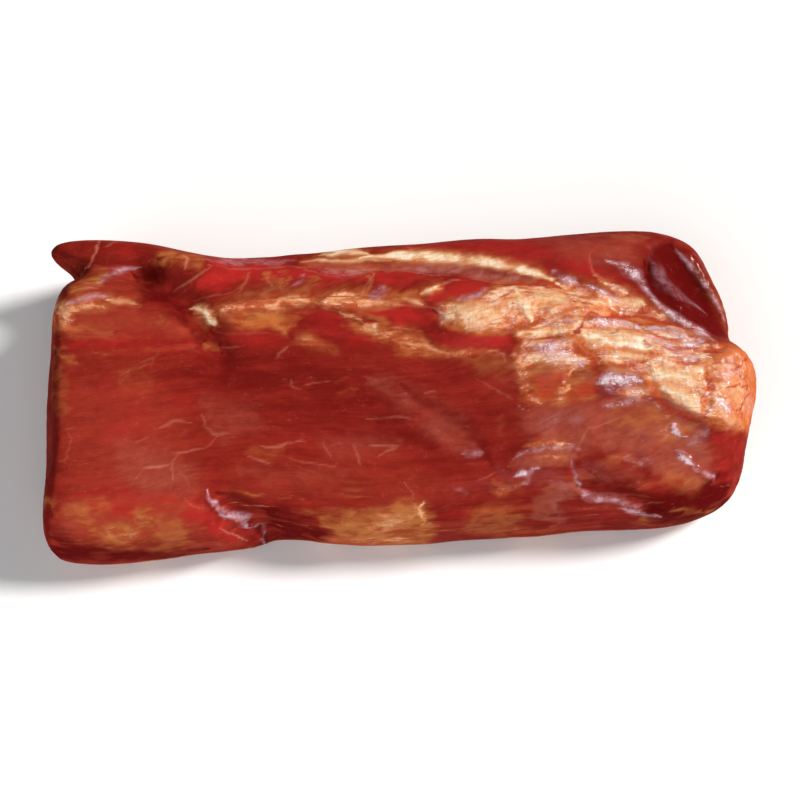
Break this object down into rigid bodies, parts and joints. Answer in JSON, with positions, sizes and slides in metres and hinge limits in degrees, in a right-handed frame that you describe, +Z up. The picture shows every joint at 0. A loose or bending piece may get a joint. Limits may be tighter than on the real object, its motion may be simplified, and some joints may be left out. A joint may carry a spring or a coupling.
{
  "type": "smoked pork fillet",
  "caption": "Boneless smoked pork loin piece, lying rib side up, with a side muscle along its back edge, a fold in its front flank and a hollow at one end.",
  "frame": {"origin": "middle of the outline seen from above, on the flat side that the fillet rests on", "axes": "+X along the fillet towards its silverskin end, +Y towards its back edge where the side muscle lies, +Z up"},
  "size_m": [0.2739, 0.1316, 0.0574],
  "materials": {
    "smoked_meat": "moist, glossy smoked lean meat with golden silverskin and pale fat"
  },
  "bodies": {
    "root": {"pork_fillet": "smoked_meat"}
  },
  "joints": []
}
